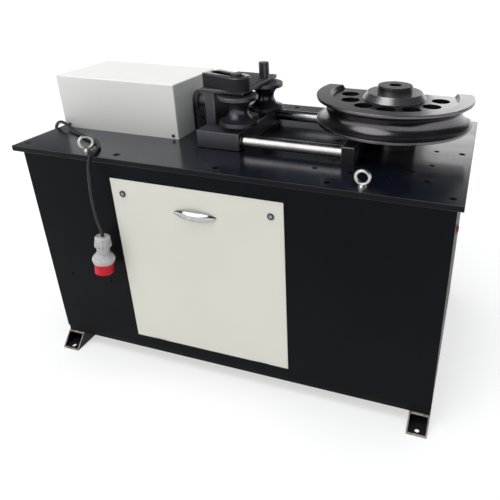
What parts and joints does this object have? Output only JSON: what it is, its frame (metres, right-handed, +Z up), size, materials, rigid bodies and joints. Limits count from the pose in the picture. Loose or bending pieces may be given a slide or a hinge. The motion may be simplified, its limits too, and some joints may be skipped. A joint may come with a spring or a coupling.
{
  "type": "pipe bender",
  "caption": "Floor-standing pipe bender: cabinet table with a grooved half-round bend die and a hydraulic carriage of grooved rollers on guide rods.",
  "frame": {"origin": "on the floor under the middle of the table", "axes": "+X along the front edge to the right, +Y to the back, +Z up"},
  "size_m": [1.3371, 0.8152, 0.9283],
  "materials": {
    "cabinet_black": "satin black paint",
    "table_black": "gloss black paint",
    "cover_white": "white powder coat",
    "panel_grey": "pale grey powder coat",
    "oxide_steel": "blackened steel",
    "bright_steel": "machined steel",
    "chrome": "polished chrome",
    "zinc": "zinc plated",
    "bronze": "turned bronze",
    "cast_grey": "painted casting",
    "tank_grey": "grey paint",
    "valve_steel": "machined block",
    "hose_rubber": "black rubber",
    "black_plastic": "matt black plastic",
    "red_plastic": "red plastic",
    "green_plastic": "green plastic",
    "plug_grey": "light grey plastic",
    "pin_brass": "nickelled brass"
  },
  "bodies": {
    "base": {"skid_rails": "cabinet_black", "base_frame": "cabinet_black", "floor_plate": "cabinet_black", "upper_frame": "cabinet_black", "cabinet_shell": "cabinet_black", "table_plate": "table_black", "table_screws": "oxide_steel", "eye_bolts": "zinc", "button_bezels": "black_plastic", "cylinder_cover": "cover_white", "cover_fixings": "oxide_steel", "cylinder_barrel": "bright_steel", "cylinder_rear_cap": "bright_steel", "cylinder_gland": "bright_steel", "cylinder_supports": "oxide_steel", "guide_rods": "chrome", "rod_end_block": "oxide_steel", "spindle_housing": "oxide_steel", "spindle_bushes": "bronze", "gear_case": "cast_grey", "gear_reducer": "cast_grey", "drive_motor": "cast_grey", "oil_tank": "tank_grey", "pump_motor": "cast_grey", "valve_block": "valve_steel", "hydraulic_hoses": "hose_rubber", "electrical_box": "tank_grey", "cable_gland": "black_plastic", "power_cord": "hose_rubber", "plug_body": "plug_grey", "plug_collar": "red_plastic", "plug_pins": "pin_brass"},
    "panel": {"front_panel": "panel_grey", "panel_handle": "chrome", "lock_cases": "zinc"},
    "left_lock_plug": {"left_lock": "zinc"},
    "right_lock_plug": {"right_lock": "zinc"},
    "stop_cap": {"stop_button": "red_plastic"},
    "bend_cap": {"bend_button": "green_plastic"},
    "return_cap": {"return_button": "black_plastic"},
    "carriage": {"carriage_base": "oxide_steel", "guide_bushes": "oxide_steel", "upright_plate": "oxide_steel", "top_plate": "oxide_steel", "slot_block": "oxide_steel", "piston_rod": "chrome", "piston": "bright_steel", "rear_pin": "oxide_steel", "rear_collar": "oxide_steel"},
    "front_pin_unit": {"front_pin": "oxide_steel", "front_collar": "oxide_steel"},
    "front_roller_unit": {"front_roller": "oxide_steel", "front_roller_bush": "bronze"},
    "rear_roller_unit": {"rear_roller": "oxide_steel", "rear_roller_bush": "bronze"},
    "die": {"main_spindle": "oxide_steel", "bend_die": "oxide_steel", "die_clamp": "oxide_steel", "bull_gear": "bright_steel"},
    "pinion": {"drive_pinion": "bright_steel"}
  },
  "joints": [
    {"name": "panel_tilt", "type": "hinge", "parent": "base", "child": "panel", "pos_m": [-0.058, -0.3511, 0.1015], "axis": [1, 0, 0], "range_deg": [0, 25]},
    {"name": "left_lock_turn", "type": "hinge", "parent": "panel", "child": "left_lock_plug", "pos_m": [-0.284, -0.35, 0.613], "axis": [0, 1, 0], "range_deg": [0, 90]},
    {"name": "right_lock_turn", "type": "hinge", "parent": "panel", "child": "right_lock_plug", "pos_m": [0.168, -0.35, 0.613], "axis": [0, -1, 0], "range_deg": [0, 90]},
    {"name": "carriage_slide", "type": "slide", "parent": "base", "child": "carriage", "axis": [1, 0, 0], "range_m": [0, 0.126]},
    {"name": "front_roller_adjust", "type": "slide", "parent": "carriage", "child": "front_pin_unit", "axis": [0.9397, -0.342, 0], "range_m": [-0.02, 0.007]},
    {"name": "front_roller_spin", "type": "hinge", "parent": "front_pin_unit", "child": "front_roller_unit", "pos_m": [-0.017, -0.128, 0.824], "axis": [0, 0, 1], "continuous": true},
    {"name": "rear_roller_spin", "type": "hinge", "parent": "carriage", "child": "rear_roller_unit", "pos_m": [-0.008, 0.045, 0.824], "axis": [0, 0, 1], "continuous": true},
    {"name": "die_turn", "type": "hinge", "parent": "base", "child": "die", "pos_m": [0.4075, 0.037, 0.824], "axis": [0, 0, -1], "range_deg": [0, 190]},
    {"name": "pinion_turn", "type": "hinge", "parent": "base", "child": "pinion", "pos_m": [0.4075, 0.173, 0.605], "axis": [0, 0, -1], "range_deg": [-570, 0]},
    {"name": "stop_press", "type": "slide", "parent": "base", "child": "stop_cap", "axis": [-1, 0, 0], "range_m": [0, 0.003], "stiffness_N_per_m": 600},
    {"name": "bend_press", "type": "slide", "parent": "base", "child": "bend_cap", "axis": [-1, 0, 0], "range_m": [0, 0.003], "stiffness_N_per_m": 600},
    {"name": "return_press", "type": "slide", "parent": "base", "child": "return_cap", "axis": [-1, 0, 0], "range_m": [0, 0.003], "stiffness_N_per_m": 600}
  ],
  "couplings": [
    {"joint": "pinion_turn", "follows": "die_turn", "ratio": -3}
  ]
}
